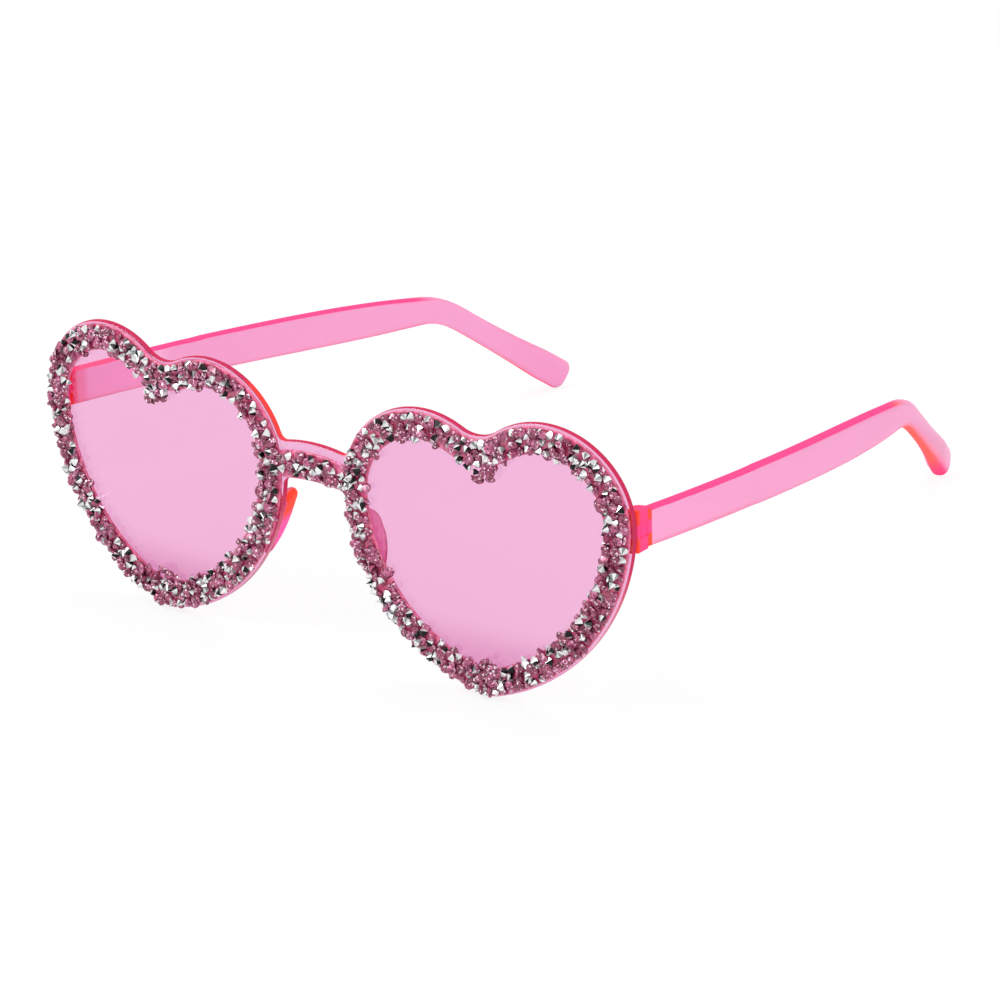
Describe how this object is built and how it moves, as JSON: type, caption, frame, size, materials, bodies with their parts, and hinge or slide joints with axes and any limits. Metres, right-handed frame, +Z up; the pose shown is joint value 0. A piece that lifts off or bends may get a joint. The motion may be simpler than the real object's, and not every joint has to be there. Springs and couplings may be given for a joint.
{
  "type": "heart-shaped sunglasses",
  "caption": "Heart-shaped party sunglasses in clear pink plastic, with a band of pink and silver rhinestones round each lens and folding temples on screwed hinges.",
  "frame": {"origin": "on the surface that the glasses stand on, under the middle of their box with the temples open", "axes": "+X towards the wearer's left, +Y from the front back along the temples, +Z up"},
  "size_m": [0.138, 0.1478, 0.0553],
  "materials": {
    "front_plastic": "clear tinted, glossy",
    "temple_plastic": "clear tinted, glossy",
    "pink_resin": "set resin, glossy",
    "pink_stone": "faceted, polished",
    "silver_foil": "faceted, foiled",
    "screw_steel": "turned"
  },
  "bodies": {
    "front": {"front_plate": "front_plastic", "nose_pad_left": "front_plastic", "nose_pad_right": "front_plastic", "hinge_block_left": "front_plastic", "hinge_block_right": "front_plastic", "hinge_screw_left": "screw_steel", "hinge_screw_right": "screw_steel", "stone_bed_left": "pink_resin", "stone_bed_right": "pink_resin", "stone_bed_bridge": "pink_resin", "stones_pink_left": "pink_stone", "stones_silver_left": "silver_foil", "stones_pink_right": "pink_stone", "stones_silver_right": "silver_foil", "stones_pink_bridge": "pink_stone", "stones_silver_bridge": "silver_foil"},
    "temple_left": {"temple_left": "temple_plastic"},
    "temple_right": {"temple_right": "temple_plastic"}
  },
  "joints": [
    {"name": "temple_left_fold", "type": "hinge", "parent": "front", "child": "temple_left", "pos_m": [0.06785, -0.06464, 0.0375], "axis": [0, 0, 1], "range_deg": [0, 82]},
    {"name": "temple_right_fold", "type": "hinge", "parent": "front", "child": "temple_right", "pos_m": [-0.06785, -0.06464, 0.0375], "axis": [0, 0, -1], "range_deg": [0, 75]}
  ]
}
